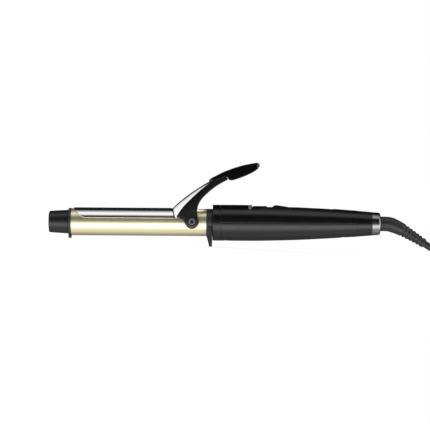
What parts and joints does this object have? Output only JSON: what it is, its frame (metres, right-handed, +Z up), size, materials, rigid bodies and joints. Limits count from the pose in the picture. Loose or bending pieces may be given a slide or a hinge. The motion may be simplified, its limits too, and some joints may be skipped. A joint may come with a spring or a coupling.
{
  "type": "curling iron",
  "caption": "Spring-clip curling iron with a gold barrel, chromed clamp, black handle, rest stand and a folded mains lead.",
  "frame": {"origin": "on the resting surface, under the middle of the iron's own length", "axes": "+X towards the lead, +Y across the iron, +Z up; the iron rests nose-low on its two feet"},
  "size_m": [0.5436, 0.0584, 0.0811],
  "materials": {
    "satin_black": "fine-textured satin black moulding",
    "gloss_black": "gloss black moulding",
    "heat_black": "heat-resistant dark moulding, dull",
    "rubber_black": "soft black rubber, dull",
    "gold": "polished pale gold coating",
    "chrome": "mirror-polished chrome plate",
    "steel": "plated steel",
    "aluminium": "as-extruded aluminium",
    "brass": "plated brass",
    "ceramic": "unglazed ceramic",
    "board_green": "solder-masked circuit board",
    "lens_grey": "smoked translucent lens",
    "nylon": "natural nylon",
    "tie_black": "woven hook-and-loop strap"
  },
  "bodies": {
    "iron_body": {"barrel_tube": "gold", "tip_cap": "satin_black", "tip_flange": "heat_black", "tip_screw": "steel", "heater_shell_upper": "aluminium", "heater_shell_lower": "aluminium", "ptc_heater_element": "ceramic", "thermal_fuse": "steel", "stand_collar": "heat_black", "foot_sole": "rubber_black", "front_ring": "satin_black", "handle_upper_shell": "satin_black", "handle_lower_shell": "satin_black", "handle_screw_front": "steel", "handle_screw_rear": "steel", "indicator_lens": "lens_grey", "control_panel": "satin_black", "circuit_board": "board_green", "tact_switch": "heat_black", "rocker_switch_housing": "heat_black", "indicator_led": "lens_grey", "dropper_capacitor": "brass", "rear_cap": "satin_black", "end_ring": "chrome", "swivel_socket": "nylon", "swivel_drum": "nylon", "supply_wire_live": "rubber_black", "supply_wire_neutral": "rubber_black", "heater_wire_live": "rubber_black", "heater_wire_neutral": "rubber_black", "pivot_screw_left": "steel", "pivot_screw_right": "steel", "strain_relief": "rubber_black", "cord_tube": "rubber_black", "cord_hank": "rubber_black", "hank_tie": "tie_black", "plug_body": "satin_black", "plug_pin_left": "brass", "plug_pin_right": "brass"},
    "clamp": {"clamp_blade": "chrome", "clamp_bracket": "satin_black", "thumb_pad": "gloss_black", "lever_rivet_left": "steel", "lever_rivet_right": "steel", "pivot_bush_left": "nylon", "pivot_bush_right": "nylon", "torsion_spring_left": "steel", "torsion_spring_right": "steel"},
    "button": {"mode_button": "gloss_black"},
    "rocker": {"power_rocker": "gloss_black"}
  },
  "joints": [
    {"name": "clamp_pivot", "type": "hinge", "parent": "iron_body", "child": "clamp", "pos_m": [-0.02119, 0, 0.02231], "axis": [0, 1, 0], "range_deg": [0, 25], "stiffness_Nm_per_rad": 0.57, "springref_deg": -30.37},
    {"name": "mode_button_press", "type": "slide", "parent": "iron_body", "child": "button", "axis": [0.0545, 0, -0.9985], "range_m": [0, 0.0008], "stiffness_N_per_m": 2000, "springref_m": -0.0004},
    {"name": "power_rocker_tilt", "type": "hinge", "parent": "iron_body", "child": "rocker", "pos_m": [0.06059, 0, 0.0395], "axis": [0, -1, 0], "range_deg": [0, 10]}
  ]
}
